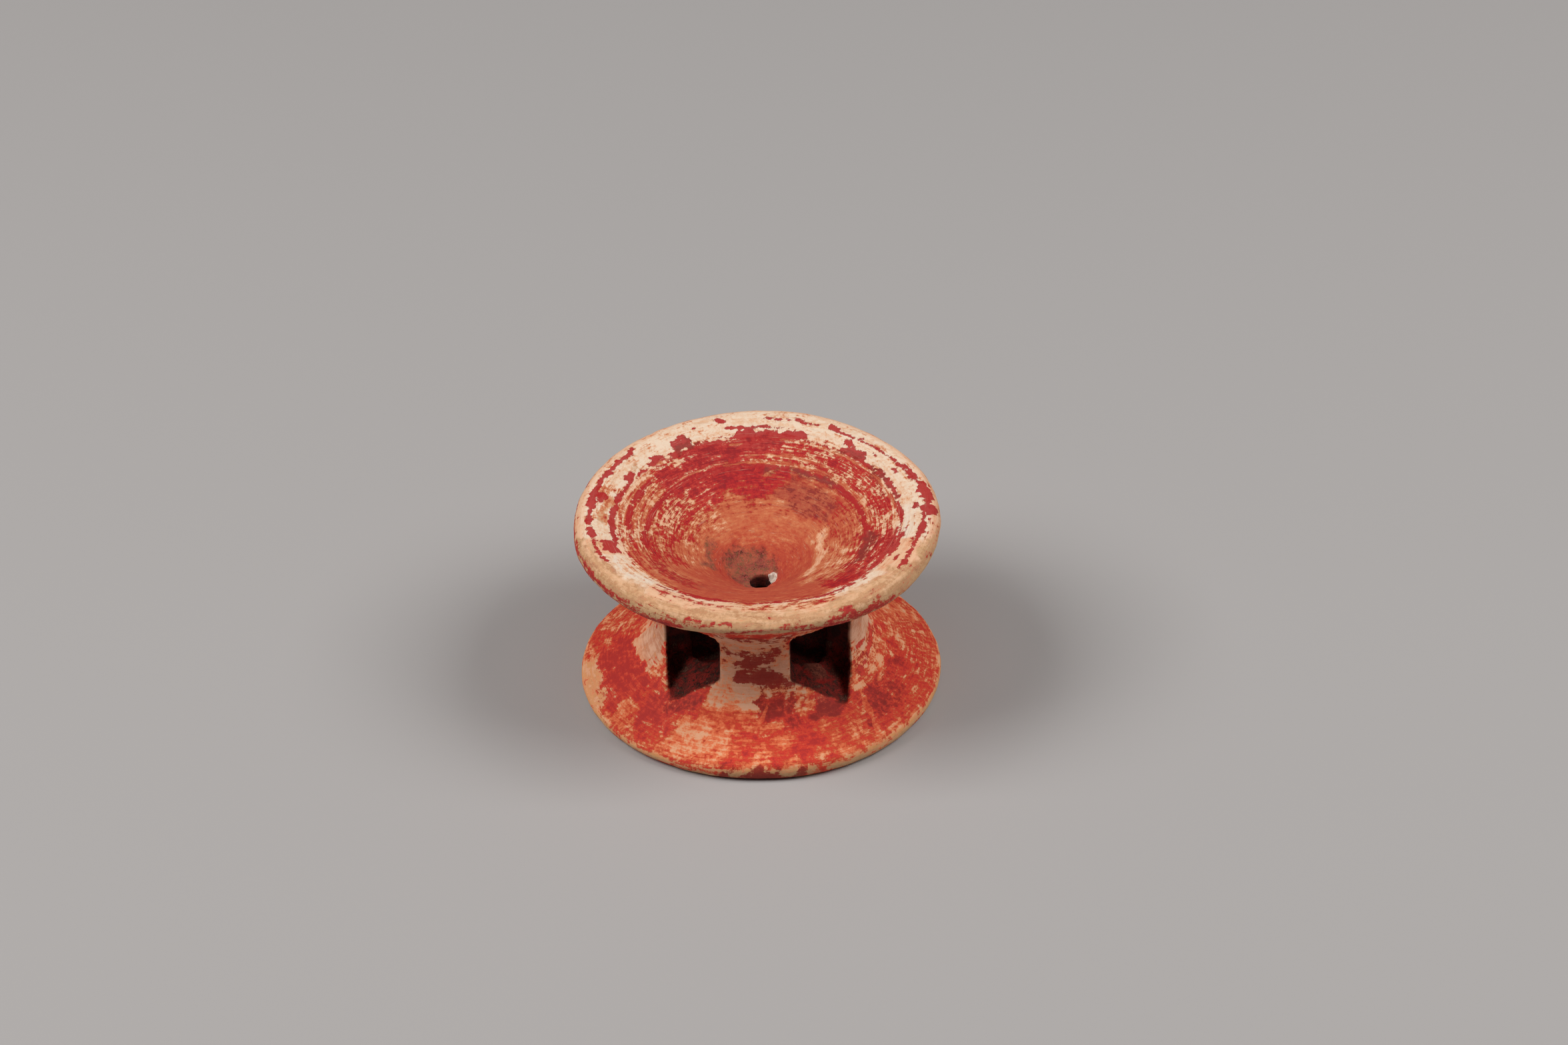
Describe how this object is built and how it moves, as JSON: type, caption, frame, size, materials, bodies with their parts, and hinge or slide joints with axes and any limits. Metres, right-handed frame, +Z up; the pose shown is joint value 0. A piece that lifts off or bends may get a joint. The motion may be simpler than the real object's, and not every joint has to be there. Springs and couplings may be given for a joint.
{
  "type": "spindle whorl",
  "caption": "Spool-shaped clay spindle whorl: a concave dish with a spindle hole on a flared foot, joined by a hollow neck pierced by four windows.",
  "frame": {"origin": "middle of the whorl's bounding box in X and Y, at the standing ring under the foot", "axes": "+Z up along the spindle's axis, from the foot to the dish; -Y is the front, with one pillar in the middle"},
  "size_m": [0.0442, 0.0442, 0.0246],
  "materials": {
    "clay": "matte red slip worn through to buff clay"
  },
  "bodies": {
    "root": {"whorl": "clay"}
  },
  "joints": []
}
